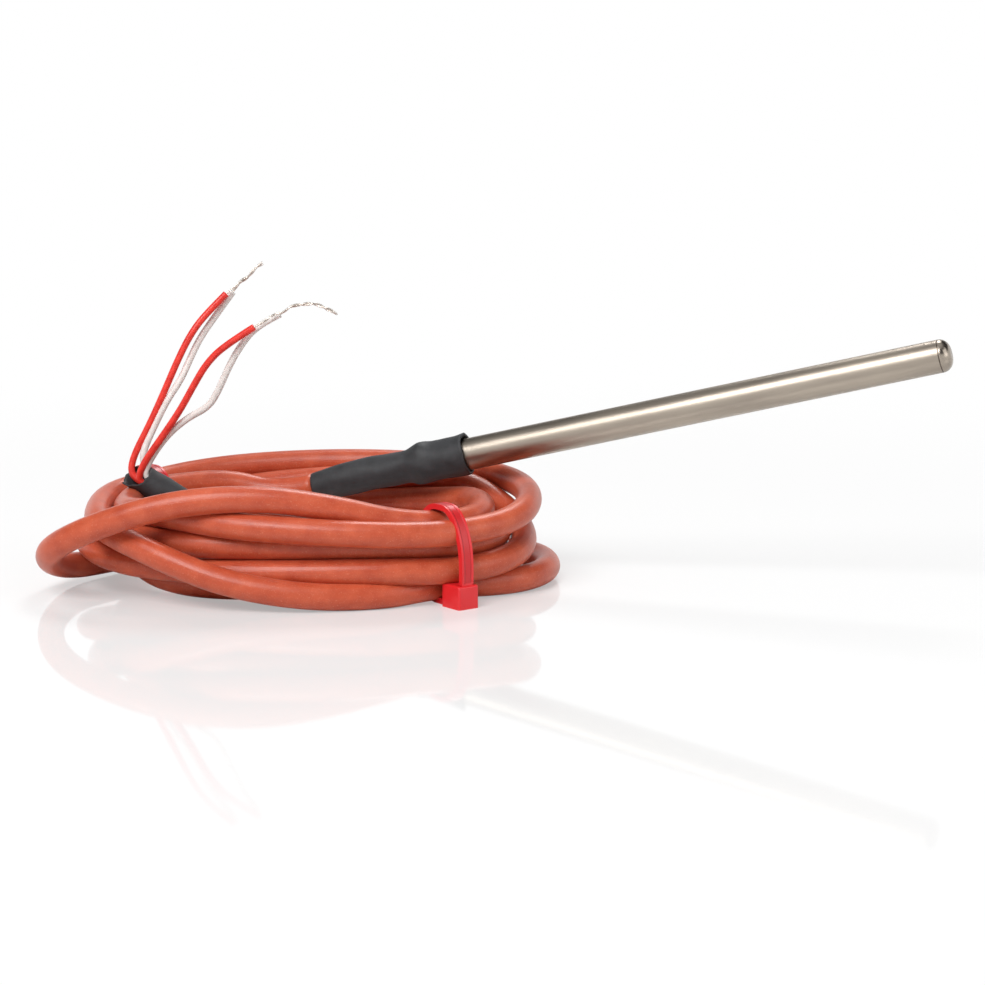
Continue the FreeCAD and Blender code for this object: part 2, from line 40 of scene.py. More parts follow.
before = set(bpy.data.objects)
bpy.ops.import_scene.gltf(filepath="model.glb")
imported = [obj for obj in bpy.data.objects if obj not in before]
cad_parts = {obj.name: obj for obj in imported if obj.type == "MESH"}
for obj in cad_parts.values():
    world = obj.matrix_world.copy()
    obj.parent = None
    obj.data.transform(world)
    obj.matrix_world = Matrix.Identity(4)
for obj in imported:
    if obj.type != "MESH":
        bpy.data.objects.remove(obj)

MM = 0.001


def linear(code):
    """Linear RGB of an sRGB hex colour."""
    channels = [int(code[i:i + 2], 16) / 255 for i in (1, 3, 5)]
    return [c / 12.92 if c <= 0.04045 else ((c + 0.055) / 1.055) ** 2.4 for c in channels]


def cells(millimetres):
    """Texture scale at which one cell of noise is this wide, on pieces whose coordinates are metres."""
    return 1 / (millimetres * MM)


def rgba(colour):
    return (colour[0], colour[1], colour[2], 1.0)


# Settings that a user would change

def length_property(name, description, millimetres):
    return FloatProperty(
        name=name, description=description, default=millimetres * MM, min=0.0, precision=5, unit="LENGTH"
    )


def colour_property(name, description, code):
    return FloatVectorProperty(
        name=name, description=description, default=linear(code), size=3, min=0.0, max=1.0, subtype="COLOR"
    )


class CableSettings(bpy.types.PropertyGroup):
    diameter: length_property("Diameter", "Outside diameter of the silicone cable", 4.8)
    reach: length_property("Half length", "Half the hank's length, to the outer turn's middle", 40.3)
    depth: length_property("Half depth", "Half the hank's depth, to the outer turn's middle", 26.0)
    fullness: FloatProperty(
        name="Fullness", description="Exponent of the hank's rounded outline; 2 is an ellipse",
        default=2.5, min=2.0,
    )
    settling: IntProperty(
        name="Settling", description="Passes that press the turns apart until they lie on each other",
        default=160, min=0,
    )
    lit: colour_property("Lit colour", "Silicone where powder and light catch it", "#CE6040")
    deep: colour_property("Deep colour", "Silicone's own brick orange", "#B5482D")


class SleeveSettings(bpy.types.PropertyGroup):
    length: length_property("Length", "Length of the probe's sleeve", 31.0)
    wall: length_property("Wall", "Wall of the probe's sleeve after shrinking", 0.55)
    end_length: length_property("End length", "Length of the sleeve at the cable's end", 10.0)
    end_radius: length_property("End radius", "Outside radius of the sleeve at the cable's end", 2.74)
    colour: colour_property("Colour", "Black polyolefin", "#28292B")


class LeadSettings(bpy.types.PropertyGroup):
    diameter: length_property("Diameter", "Outside diameter of one insulated lead", 1.3)
    strand: length_property("Strand", "Diameter of one tinned copper strand", 0.13)
    red: colour_property("Red", "Red silicone insulation", "#EF4034")
    white: colour_property("White", "White silicone insulation", "#EEEAE6")


class TieSettings(bpy.types.PropertyGroup):
    colour: colour_property("Colour", "Red nylon", "#E2242A")


class SheathSettings(bpy.types.PropertyGroup):
    colour: colour_property("Colour", "Stainless steel", "#AEA396")


class StageSettings(bpy.types.PropertyGroup):
    lens: FloatProperty(name="Lens", description="Camera's focal length", default=107.67, unit="CAMERA")
    distance: length_property("Distance", "How far in front of the probe the camera stands", 543.0)
    height: length_property("Height", "Camera's height over the sleeve's lip", 88.5)
    tilt: FloatProperty(
        name="Tilt", description="How far the camera looks down", default=math.radians(10), subtype="ANGLE"
    )


# Small tools for shader nodes, meshes and lines

def node(tree, kind, inputs=None, stops=(), **settings):
    """Adds a shader node, sets its properties, and sets or links its inputs.

    stops holds a colour ramp's (place, colour) pairs."""
    made = tree.nodes.new(kind)
    for name, value in settings.items():
        setattr(made, name, value)
    for socket, value in (inputs or {}).items():
        if isinstance(value, bpy.types.NodeSocket):
            tree.links.new(value, made.inputs[socket])
        else:
            made.inputs[socket].default_value = value
    if stops:
        elements = made.color_ramp.elements
        while len(elements) < len(stops):
            elements.new(1.0)
        for element, (place, colour) in zip(elements, stops):
            element.position = place
            element.color = rgba(colour)
    return made


def new_material(name):
    """An empty material and its node tree."""
    material = bpy.data.materials.new(name)
    material.use_nodes = True
    material.node_tree.nodes.clear()
    return material, material.node_tree


def grey(level):
    return (level, level, level)


def put(name, data):
    """A new object in the scene."""
    made = bpy.data.objects.new(name, data)
    bpy.context.collection.objects.link(made)
    return made


def mesh_piece(name, vertices, faces, material, uv=None):
    """A mesh object at the origin; uv holds one pair for each corner of each face."""
    mesh = bpy.data.meshes.new(name)
    mesh.from_pydata(vertices.reshape(-1, 3), [], faces)
    mesh.update()
    if uv is not None:
        layer = mesh.uv_layers.new(name="along")
        layer.data.foreach_set("uv", uv.astype(np.float32).ravel())
    mesh.polygons.foreach_set("use_smooth", np.ones(len(mesh.polygons), dtype=bool))
    mesh.materials.append(material)
    piece = put(name, mesh)
    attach(piece, "root")
    return piece


def grid_faces(rows, columns, close_rows=False):
    """Quads of a grid, closed round its columns, that face out of a tube along its rows."""
    i = np.arange(rows if close_rows else rows - 1)[:, None]
    j = np.arange(columns)[None, :]
    next_i = (i + 1) % rows
    next_j = (j + 1) % columns
    quads = np.stack([
        i * columns + j, i * columns + next_j, next_i * columns + next_j, next_i * columns + j,
    ], -1)
    return quads.reshape(-1, 4)


def route_line(points, name):
    """The smooth line of a NURBS spline whose control points are the given ones, read back as an array."""
    curve = bpy.data.curves.new(name, "CURVE")
    curve.dimensions = "3D"
    curve.resolution_u = 6
    spline = curve.splines.new("NURBS")
    spline.points.add(len(points) - 1)
    spline.points.foreach_set("co", np.hstack([points, np.ones((len(points), 1))]).ravel())
    spline.order_u = 3
    spline.use_endpoint_u = True
    holder = put(name, curve)
    bpy.context.view_layer.update()
    mesh = bpy.data.meshes.new_from_object(holder.evaluated_get(bpy.context.evaluated_depsgraph_get()))
    line = np.empty(len(mesh.vertices) * 3)
    mesh.vertices.foreach_get("co", line)
    bpy.data.meshes.remove(mesh)
    bpy.data.objects.remove(holder)
    bpy.data.curves.remove(curve)
    return line.reshape(-1, 3)


def distance_along(line):
    """Length of the line up to each of its points."""
    return np.concatenate([[0.0], np.cumsum(np.linalg.norm(np.diff(line, axis=0), axis=1))])


def evenly(line, step):
    """The line again, with points an even step apart."""
    s = distance_along(line)
    u = np.linspace(0.0, s[-1], max(int(round(s[-1] / step)), 2) + 1)
    return np.stack([np.interp(u, s, line[:, axis]) for axis in range(3)], 1)


def sections(line, reference):
    """Unit vectors across and over a line at each of its points; reference is never along it."""
    tangent = np.gradient(line, axis=0)
    tangent /= np.linalg.norm(tangent, axis=1)[:, None]
    across = np.cross(tangent, reference)
    across /= np.linalg.norm(across, axis=1)[:, None]
    return across, np.cross(across, tangent)


def tube_arrays(line, radius, sides, reference):
    """Vertices, quads, end fans and uv of a round tube.

    A vertex is line + radius * (cos a * across + sin a * over), for a round the circle. A flat fan to the
    line's own end point closes each end. The uv is metres along and metres round."""
    across, over = sections(line, reference)
    angle = np.arange(sides) * (2 * np.pi / sides)
    ring = np.cos(angle)[None, :, None] * across[:, None] + np.sin(angle)[None, :, None] * over[:, None]
    body = line[:, None] + radius * ring
    rows = len(line)
    quads = grid_faces(rows, sides)
    vertices = np.vstack([body.reshape(-1, 3), line[:1], line[-1:]])
    first, last = rows * sides, rows * sides + 1
    j = np.arange(sides)
    k = (j + 1) % sides
    start_fan = np.stack([np.full(sides, first), k, j], 1)
    end_fan = np.stack([np.full(sides, last), (rows - 1) * sides + j, (rows - 1) * sides + k], 1)
    along = distance_along(line)
    around = np.arange(sides + 1) * (2 * np.pi / sides) * radius
    i = np.repeat(np.arange(rows - 1), sides)
    c = np.tile(np.arange(sides), rows - 1)
    uv = np.stack([
        np.stack([along[i], around[c]], 1),
        np.stack([along[i], around[c + 1]], 1),
        np.stack([along[i + 1], around[c + 1]], 1),
        np.stack([along[i + 1], around[c]], 1),
    ], 1).reshape(-1, 2)
    fan_uv = np.zeros((6 * sides, 2))
    return vertices, quads, np.vstack([start_fan, end_fan]), np.vstack([uv, fan_uv])


def tube_piece(name, line, radius, sides, reference, material):
    """A closed round tube along a line, as a piece of its own."""
    vertices, quads, fans, uv = tube_arrays(line, radius, sides, reference)
    faces = quads.tolist() + fans.tolist()
    return mesh_piece(name, vertices, faces, material, uv)


# The probe's own axis, as the CAD part has it

PROBE_RISE = math.radians(13.8)
PROBE_SWING = math.radians(15.4)
PROBE_TURN = np.array(Euler((0.0, -PROBE_RISE, 0.0)).to_matrix())
PROBE_TURN = np.array(Euler((0.0, 0.0, -PROBE_SWING)).to_matrix()) @ PROBE_TURN
# The dome's seam, from the sleeve's lip
SEAM_PLACE = 90.0


def on_probe(points):
    """Points given along the sheath's own axis, x from the sleeve's lip to the tip."""
    return points @ PROBE_TURN.T


# The cable's route, in millimetres

FLOOR = -22.5
HANK_MIDDLE = (-28.4, -8.0)

# Out of the sleeve's mouth towards the hank's back left
LEAD_OUT_ROUTE = [(-29.02, 7.995, -7.394), (-36.51, 10.06, -9.3), (-45.0, 12.0, -8.9)]

# The turns, as the photograph shows them: how far inside the outer turn's line, and how high over the
# floor, at the back left, left, front left, front, front right, right, back right and back, and round again
FIRST_TURNS = [
    (4.4, 12.2), (5.8, 12.5), (5.2, 14.9), (1.0, 14.4), (1.4, 13.0), (0.4, 15.4), (0.8, 17.2), (0.0, 17.6),
    (-3.0, 16.2), (1.1, 13.2), (0.3, 10.4), (0.6, 2.6), (7.5, 2.7), (-3.0, 2.6), (-1.2, 2.6), (1.5, 2.5),
    (3.0, 2.6),
]

# Loose loop: round the left end, along the front's top and into the right end
LOOSE_ROUTE = [
    (-59.0, 6.4, -20.1), (-66.2, -1.2, -20.1), (-73.3, -10.2, -19.6), (-76.4, -19.6, -16.2),
    (-73.2, -27.2, -11.8), (-63.0, -30.4, -7.0), (-50.5, -31.6, -3.7), (-37.0, -31.9, -2.9),
    (-24.0, -31.4, -4.8), (-11.6, -29.8, -8.0), (-0.8, -23.2, -8.8), (3.6, -11.8, -8.6), (1.6, 0.4, -8.5),
]

# From the back right on
LAST_TURNS = [
    (9.0, 13.0), (5.0, 11.6), (1.0, 12.8), (-1.4, 9.2), (6.5, 5.8), (3.0, 5.3), (2.4, 5.2), (1.8, 8.0),
    (5.5, 15.8), (3.0, 14.5), (4.0, 9.6), (6.3, 5.2), (8.2, 2.5), (7.4, 2.5), (9.5, 5.0), (6.0, 5.0),
    (5.5, 5.5), (5.8, 7.0), (5.0, 7.0), (4.6, 10.8), (4.4, 11.0), (3.8, 9.8), (4.4, 9.4), (6.0, 9.6),
    (6.5, 8.0), (5.4, 6.4),
]

# Up out of the hank's back to the cable's end in its sleeve
TAIL_ROUTE = [(-28.0, 12.6, -16.6), (-38.6, 6.6, -16.2), (-48.6, 0.6, -12.3), (-58.3, 0.0, -6.2)]


def cable_end():
    """The cable's far end, the way it points, and unit vectors across it and over it."""
    end = np.array(TAIL_ROUTE[-1])
    heading = end - np.array(TAIL_ROUTE[-2])
    heading /= np.linalg.norm(heading)
    across = np.cross(heading, (0.0, 0.0, 1.0))
    across /= np.linalg.norm(across)
    return end, heading, across, np.cross(across, heading)


STATIONS_PER_TURN = 8
POINTS_PER_STATION = 3
CABLE_STEP = 1.1
CABLE_SIDES = 28

# Ties: middle of the bundle there, direction out of the hank in degrees, half width inside, top inside
TIES = [((-3.7, -27.4), -52.0, 5.2, 17.0), ((-61.1, 8.2), 135.0, 4.7, 17.6)]
# Where the strap presses along the cable, and how far from the bundle's middle a strand is outside the tie
TIE_HALF_LENGTH = 3.2
TIE_BUNDLE = 9.0
# Room for a strand's middle under the strap, how fast its round top falls per square millimetre, the
# lowest that a strand lies in it, and the top of the head over the floor
SIDE_ROOM = 2.6
TOP_ROOM = 2.4
STRAP_ARCH = 0.14
LOWEST_IN_TIE = 3.4
HEAD_TOP = 4.7

# Settling: a strand's middle over the floor, the length within which the cable can't touch itself, the
# gap left between strands, and how firmly the loose loop and the turns keep their own places
REST_HEIGHT = 2.5
NEIGHBOUR_LENGTH = 14.0
CLEARANCE = 0.06
LOOP_HOLD = 0.06
TURN_HOLD = 0.02
# Strengths of the floor's push, of a whole pass and of its evening out
FLOOR_LIFT = 2.0
PASS_STRENGTH = 1.2
EVENING = 0.35


def catmull_rom(padded, place):
    """Rows read at fractional places by a cubic that passes through every row without a corner.

    padded has one row more at each end. From b to c, with f from 0 to 1, the value is half of
    2b + (c - a) f + (2a - 5b + 4c - d) f^2 + (3b - a - 3c + d) f^3."""
    i = np.minimum(place.astype(int), len(padded) - 4)
    f = (place - i)[:, None]
    a, b, c, d = (padded[i + k] for k in range(4))
    return 0.5 * (
        2 * b + (c - a) * f + (2 * a - 5 * b + 4 * c - d) * f ** 2 + (3 * b - a - 3 * c + d) * f ** 3
    )


def eased(stations):
    """Places between the stations, counted in stations, and the smooth values there."""
    values = np.array(stations, float)
    k = np.arange((len(values) - 1) * POINTS_PER_STATION + 1) / POINTS_PER_STATION
    return k, catmull_rom(np.vstack([values[:1], values, values[-1:]]), k)


def wound(stations, first_station, spare, settings):
    """Control points of the turns: x = (reach - inset) * cos^(2/n), y = (depth - inset) * sin^(2/n).

    n is the outline's fullness, and both powers keep their signs round the hank. Spare points are left off
    the end, where the next stretch begins."""
    k, values = eased(stations)
    angle = np.pi / 2 + (k + first_station) * (2 * np.pi / STATIONS_PER_TURN)
    cosine, sine = np.cos(angle), np.sin(angle)
    power = 2 / settings.fullness
    inset, height = values[:, 0], values[:, 1]
    x = HANK_MIDDLE[0] + (settings.reach / MM - inset) * np.sign(cosine) * np.abs(cosine) ** power
    y = HANK_MIDDLE[1] + (settings.depth / MM - inset) * np.sign(sine) * np.abs(sine) ** power
    points = np.stack([x, y, FLOOR + height], 1)
    return points[:len(points) - spare]


def spline_weights(count, per_span):
    """Matrix that turns the control points of an order-3 NURBS spline with clamped ends into points on it."""
    knots = np.concatenate([[0, 0], np.arange(count - 1), [count - 2, count - 2]]).astype(float)
    u = np.linspace(0, count - 2, (count - 2) * per_span + 1)
    u[-1] -= 1e-9
    i = np.minimum(u.astype(int), count - 3) + 2
    before = (knots[i + 1] - u) ** 2 / ((knots[i + 1] - knots[i]) * (knots[i + 1] - knots[i - 1]))
    after = (u - knots[i]) ** 2 / ((knots[i + 1] - knots[i]) * (knots[i + 2] - knots[i]))
    weights = np.zeros((len(u), count))
    row = np.arange(len(u))
    weights[row, i - 2] = before
    weights[row, i - 1] = 1 - before - after
    weights[row, i] = after
    return weights


def tie_push(place):
    """How far points near a tie must move to lie inside its strap."""
    push = np.zeros_like(place)
    for middle, heading, half, top in TIES:
        out = np.array([math.cos(math.radians(heading)), math.sin(math.radians(heading))])
        offset = place[:, :2] - middle
        outward = offset @ out
        along = offset @ np.array([-out[1], out[0]])
        near = (np.abs(along) < TIE_HALF_LENGTH) & (np.abs(outward) < TIE_BUNDLE)
        room = half - SIDE_ROOM
        push[:, :2] += (near * (np.clip(outward, -room, room) - outward))[:, None] * out
        height = place[:, 2] - FLOOR
        roof = top - TOP_ROOM - STRAP_ARCH * np.minimum(np.abs(outward), room) ** 2
        push[:, 2] += near * (np.clip(height, LOWEST_IN_TIE, roof) - height)
    return push


def settled(points, free, hold, passes, diameter):
    """Presses the turns apart until they lie on each other, as whole arrays.

    Each pass samples the spline, pushes samples nearer than a diameter half their overlap apart, lifts them
    off the floor and into the ties, hands the pushes back to the control points, and evens them out."""
    weights = spline_weights(len(points), 4)
    share = weights.sum(0)[:, None]
    target = points.copy()
    for _ in range(passes):
        place = weights @ points
        gap = place[:, None] - place[None]
        apart = np.sqrt((gap ** 2).sum(-1)) + 1e-9
        along = distance_along(place)
        close = (apart < diameter) & (np.abs(along[:, None] - along[None]) > NEIGHBOUR_LENGTH)
        push = (gap / apart[..., None] * ((diameter - apart) * close)[..., None]).sum(1)
        push *= 0.5 / np.maximum(close.sum(1), 1)[:, None]
        push[:, 2] += FLOOR_LIFT * np.maximum(0.0, FLOOR + REST_HEIGHT - place[:, 2])
        push += tie_push(place)
        pull = PASS_STRENGTH * (weights.T @ push) / share + hold * (target - points)
        moved = points + free * pull - target
        even = moved.copy()
        even[1:-1] = 0.25 * moved[:-2] + 0.5 * moved[1:-1] + 0.25 * moved[2:]
        points = target + moved + EVENING * free * (even - moved)
    return points


def cable_points(settings):
    """Control points of the whole cable, settled; only its ends, held by the two sleeves, don't move."""
    stretches = [
        np.array(LEAD_OUT_ROUTE),
        wound(FIRST_TURNS, 1, 2, settings),
        np.array(LOOSE_ROUTE),
        wound(LAST_TURNS, 7, 1, settings),
        np.array(TAIL_ROUTE),
    ]
    points = np.vstack(stretches)
    free = np.ones((len(points), 1))
    free[:2] = 0.0
    free[-3:] = 0.0
    hold = [np.full(len(part), LOOP_HOLD if i == 2 else TURN_HOLD) for i, part in enumerate(stretches)]
    diameter = settings.diameter / MM + CLEARANCE
    return settled(points, free, np.concatenate(hold)[:, None], settings.settling, diameter) * MM


# Materials

def silicone(settings):
    """Extruded silicone rubber, talced: brick orange, satin, with a pale bloom and faint lines along it."""
    material, tree = new_material("extruded_silicone_rubber")
    place = node(tree, "ShaderNodeTexCoord").outputs["Object"]
    uv = node(tree, "ShaderNodeUVMap", uv_map="along").outputs["UV"]
    # clouds of powder, about 4 mm across
    cloud = node(tree, "ShaderNodeTexNoise", {
        "Vector": place, "Scale": cells(3.85), "Detail": 4.0, "Roughness": 0.6,
    }).outputs["Fac"]
    colour = node(tree, "ShaderNodeValToRGB", {"Fac": cloud}, stops=[
        (0.28, settings.deep), (0.72, settings.lit),
    ])
    # grains of powder, about 0.25 mm
    grain = node(tree, "ShaderNodeTexNoise", {
        "Vector": place, "Scale": cells(0.238),
    }).outputs["Fac"]
    specks = node(tree, "ShaderNodeValToRGB", {"Fac": grain}, stops=[(0.58, grey(0.0)), (0.74, grey(0.36))])
    mixed = node(tree, "ShaderNodeMix", {
        "Factor": specks.outputs["Color"], "A": colour.outputs["Color"], "B": rgba(linear("#DE9478")),
    }, data_type="RGBA")
    # die lines along the cable, about 0.4 mm apart round it and centimetres long
    stretched = node(tree, "ShaderNodeMapping", {"Vector": uv, "Scale": (cells(25.0), cells(0.385), 1.0)})
    lines = node(tree, "ShaderNodeTexNoise", {
        "Vector": stretched.outputs["Vector"], "Scale": 1.0,
    }).outputs["Fac"]
    relief = node(tree, "ShaderNodeMath", {0: grain, 1: lines}, operation="ADD")
    bump = node(tree, "ShaderNodeBump", {"Height": relief.outputs[0], "Strength": 0.2, "Distance": 0.0002})
    rough = node(tree, "ShaderNodeMapRange", {"Value": cloud, "To Min": 0.25, "To Max": 0.38})
    shader = node(tree, "ShaderNodeBsdfPrincipled", {
        "Base Color": mixed.outputs["Result"],
        "Roughness": rough.outputs["Result"],
        "Normal": bump.outputs["Normal"],
        "IOR": 1.42,
        "Sheen Weight": 0.06,
        "Sheen Roughness": 0.4,
        "Sheen Tint": (1.0, 0.86, 0.8, 1.0),
        "Subsurface Weight": 0.03,
        "Subsurface Radius": (1.0, 0.35, 0.2),
        "Subsurface Scale": 0.0012,
    })
    node(tree, "ShaderNodeOutputMaterial", {"Surface": shader.outputs["BSDF"]})
    return material


def shrink_tubing(settings):
    """Heat-shrink polyolefin: matte black that shows grey where it turns to the light."""
    material, tree = new_material("heat_shrink_polyolefin")
    place = node(tree, "ShaderNodeTexCoord").outputs["Object"]
    # uneven gloss from the hot air, about 2 mm across
    cloud = node(tree, "ShaderNodeTexNoise", {
        "Vector": place, "Scale": cells(2.0), "Detail": 4.0, "Roughness": 0.65,
    }).outputs["Fac"]
    colour = node(tree, "ShaderNodeValToRGB", {"Fac": cloud}, stops=[
        (0.3, settings.colour), (0.75, linear("#38393C")),
    ])
    # the skin's own grain, about 0.3 mm
    grain = node(tree, "ShaderNodeTexNoise", {"Vector": place, "Scale": cells(0.278)})
    bump = node(tree, "ShaderNodeBump", {
        "Height": grain.outputs["Fac"], "Strength": 0.18, "Distance": 0.0002,
    })
    rough = node(tree, "ShaderNodeMapRange", {"Value": cloud, "To Min": 0.5, "To Max": 0.66})
    shader = node(tree, "ShaderNodeBsdfPrincipled", {
        "Base Color": colour.outputs["Color"],
        "Roughness": rough.outputs["Result"],
        "Normal": bump.outputs["Normal"],
        "IOR": 1.5,
    })
    node(tree, "ShaderNodeOutputMaterial", {"Surface": shader.outputs["BSDF"]})
    return material


def nylon(name, settings, middle, heading):
    """Moulded nylon: clear red and glossy, with a raised rib along each edge of the strap's outer face.

    The mapping turns the tie's own heading to x, so that y runs across the strap. The ribs begin 0.6 mm from
    the strap's middle. The head, low on the floor, is plain. Between the ribs the strap is painted a darker
    red as painted shade in its recess, so that the lighter ribs stand in for highlights along its edges."""
    material, tree = new_material(name)
    place = node(tree, "ShaderNodeTexCoord").outputs["Object"]
    turn = math.radians(-heading)
    back = (
        -(middle[0] * math.cos(turn) - middle[1] * math.sin(turn)) * MM,
        -(middle[0] * math.sin(turn) + middle[1] * math.cos(turn)) * MM,
        0.0,
    )
    turned = node(tree, "ShaderNodeMapping", {
        "Vector": place, "Rotation": (0.0, 0.0, turn), "Location": back,
    })
    aside = node(tree, "ShaderNodeSeparateXYZ", {0: turned.outputs["Vector"]}).outputs["Y"]
    off = node(tree, "ShaderNodeMath", {0: aside}, operation="ABSOLUTE").outputs[0]
    ribs = node(tree, "ShaderNodeMapRange", {
        "Value": off, "From Min": 0.6 * MM, "From Max": 0.8 * MM,
    }, interpolation_type="SMOOTHSTEP")
    # faint waves of the mould's polish, 0.7 mm
    wave = node(tree, "ShaderNodeTexNoise", {"Vector": place, "Scale": cells(0.714)})
    low = node(tree, "ShaderNodeSeparateXYZ", {0: place}).outputs["Z"]
    head = node(tree, "ShaderNodeMath", {0: low, 1: (FLOOR + HEAD_TOP) * MM}, operation="LESS_THAN")
    # the ribs and the head keep the lighter red; the rest of the strap gets painted shade
    raised = node(tree, "ShaderNodeMath", {
        0: ribs.outputs["Result"], 1: head.outputs[0],
    }, operation="MAXIMUM").outputs[0]
    # painted shade: a darker red on the strap's middle between the ribs, the lighter red on ribs and head
    colour = node(tree, "ShaderNodeValToRGB", {"Fac": raised}, stops=[
        (0.0, linear("#C81A20")), (1.0, settings.colour),
    ])
    fine = node(tree, "ShaderNodeBump", {"Height": wave.outputs["Fac"], "Strength": 0.06, "Distance": 0.0002})
    bump = node(tree, "ShaderNodeBump", {
        "Height": raised, "Strength": 0.9, "Distance": 0.0003, "Normal": fine.outputs["Normal"],
    })
    shader = node(tree, "ShaderNodeBsdfPrincipled", {
        "Base Color": colour.outputs["Color"],
        "Roughness": 0.34,
        "Normal": bump.outputs["Normal"],
        "IOR": 1.53,
    })
    node(tree, "ShaderNodeOutputMaterial", {"Surface": shader.outputs["BSDF"]})
    return material


def insulation(name, light, dark):
    """Thin silicone insulation on a lead: smooth and glossy, faintly uneven over the strands below."""
    material, tree = new_material(name)
    place = node(tree, "ShaderNodeTexCoord").outputs["Object"]
    # unevenness about 1.4 mm long
    uneven = node(tree, "ShaderNodeTexNoise", {
        "Vector": place, "Scale": cells(1.43), "Detail": 3.0,
    }).outputs["Fac"]
    colour = node(tree, "ShaderNodeValToRGB", {"Fac": uneven}, stops=[(0.3, dark), (0.6, light)])
    bump = node(tree, "ShaderNodeBump", {"Height": uneven, "Strength": 0.06, "Distance": 0.0003})
    shader = node(tree, "ShaderNodeBsdfPrincipled", {
        "Base Color": colour.outputs["Color"],
        "Roughness": 0.32,
        "Normal": bump.outputs["Normal"],
        "IOR": 1.42,
    })
    node(tree, "ShaderNodeOutputMaterial", {"Surface": shader.outputs["BSDF"]})
    return material


def tinned_copper():
    """Tinned copper wire: silvery, slightly warm, drawn and a little dull."""
    material, tree = new_material("tinned_copper")
    place = node(tree, "ShaderNodeTexCoord").outputs["Object"]
    # dull patches in the tin, 0.7 mm
    dull = node(tree, "ShaderNodeTexNoise", {
        "Vector": place, "Scale": cells(0.667), "Detail": 3.0,
    }).outputs["Fac"]
    colour = node(tree, "ShaderNodeValToRGB", {"Fac": dull}, stops=[
        (0.3, linear("#C9BDB2")), (0.7, linear("#EFE9E2")),
    ])
    rough = node(tree, "ShaderNodeMapRange", {"Value": dull, "To Min": 0.22, "To Max": 0.4})
    shader = node(tree, "ShaderNodeBsdfPrincipled", {
        "Base Color": colour.outputs["Color"],
        "Roughness": rough.outputs["Result"],
        "Metallic": 1.0,
    })
    node(tree, "ShaderNodeOutputMaterial", {"Surface": shader.outputs["BSDF"]})
    return material


def ground_steel(settings):
    """Stainless tube, ground round its girth and dulled: soft broad reflections, with fine rings close up."""
    material, tree = new_material("ground_stainless_steel")
    place = node(tree, "ShaderNodeTexCoord").outputs["Object"]
    # turned so that x runs along the sheath
    unswung = node(tree, "ShaderNodeMapping", {"Vector": place, "Rotation": (0.0, 0.0, PROBE_SWING)})
    straight = node(tree, "ShaderNodeMapping", {
        "Vector": unswung.outputs["Vector"], "Rotation": (0.0, PROBE_RISE, 0.0),
    }).outputs["Vector"]
    # grinding rings 0.15 mm apart, running a few millimetres round the tube
    ringed = node(tree, "ShaderNodeMapping", {
        "Vector": straight, "Scale": (cells(0.154), cells(3.33), cells(3.33)),
    })
    rings = node(tree, "ShaderNodeTexNoise", {
        "Vector": ringed.outputs["Vector"], "Scale": 1.0, "Detail": 3.0,
    })
    # handling marks, centimetres long and 2 mm wide
    smears = node(tree, "ShaderNodeMapping", {
        "Vector": straight, "Scale": (cells(16.7), cells(2.0), cells(2.0)),
    })
    stain = node(tree, "ShaderNodeTexNoise", {
        "Vector": smears.outputs["Vector"], "Scale": 1.0, "Detail": 4.0,
    }).outputs["Fac"]
    colour = node(tree, "ShaderNodeValToRGB", {"Fac": stain}, stops=[
        (0.3, linear("#998F84")), (0.7, settings.colour),
    ])
    # the dome is polished, and a dark line shows where it was welded on
    along = node(tree, "ShaderNodeSeparateXYZ", {0: straight}).outputs["X"]
    seam = node(tree, "ShaderNodeMath", {0: along, 1: SEAM_PLACE * MM, 2: 0.1 * MM}, operation="COMPARE")
    dome = node(tree, "ShaderNodeMath", {0: along, 1: (SEAM_PLACE + 0.2) * MM}, operation="GREATER_THAN")
    seamed = node(tree, "ShaderNodeMix", {
        "Factor": seam.outputs[0], "A": colour.outputs["Color"], "B": rgba(linear("#5A5048")),
    }, data_type="RGBA")
    ground = node(tree, "ShaderNodeMapRange", {"Value": stain, "To Min": 0.33, "To Max": 0.4})
    rough = node(tree, "ShaderNodeMix", {
        "Factor": dome.outputs[0], "A": ground.outputs["Result"], "B": 0.26,
    })
    bump = node(tree, "ShaderNodeBump", {
        "Height": rings.outputs["Fac"], "Strength": 0.25, "Distance": 0.00005,
    })
    shader = node(tree, "ShaderNodeBsdfPrincipled", {
        "Base Color": seamed.outputs["Result"],
        "Roughness": rough.outputs["Result"],
        "Metallic": 1.0,
        "Normal": bump.outputs["Normal"],
    })
    node(tree, "ShaderNodeOutputMaterial", {"Surface": shader.outputs["BSDF"]})
    return material


def plain_inner(name, code, roughness):
    """A finish for the pieces sealed inside the sheath: one tone, a shade darker in its 0.8 mm grain."""
    material, tree = new_material(name)
    place = node(tree, "ShaderNodeTexCoord").outputs["Object"]
    grain = node(tree, "ShaderNodeTexNoise", {"Vector": place, "Scale": cells(0.833), "Detail": 3.0})
    tone = linear(code)
    colour = node(tree, "ShaderNodeValToRGB", {"Fac": grain.outputs["Fac"]}, stops=[
        (0.3, [0.85 * c for c in tone]), (0.7, tone),
    ])
    shader = node(tree, "ShaderNodeBsdfPrincipled", {
        "Base Color": colour.outputs["Color"], "Roughness": roughness,
    })
    node(tree, "ShaderNodeOutputMaterial", {"Surface": shader.outputs["BSDF"]})
    return material


def give(names, material):
    """Puts a material on CAD nodes."""
    for name in names:
        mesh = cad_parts[name].data
        mesh.materials.clear()
        mesh.materials.append(material)


# Operators, and the shapes that they make

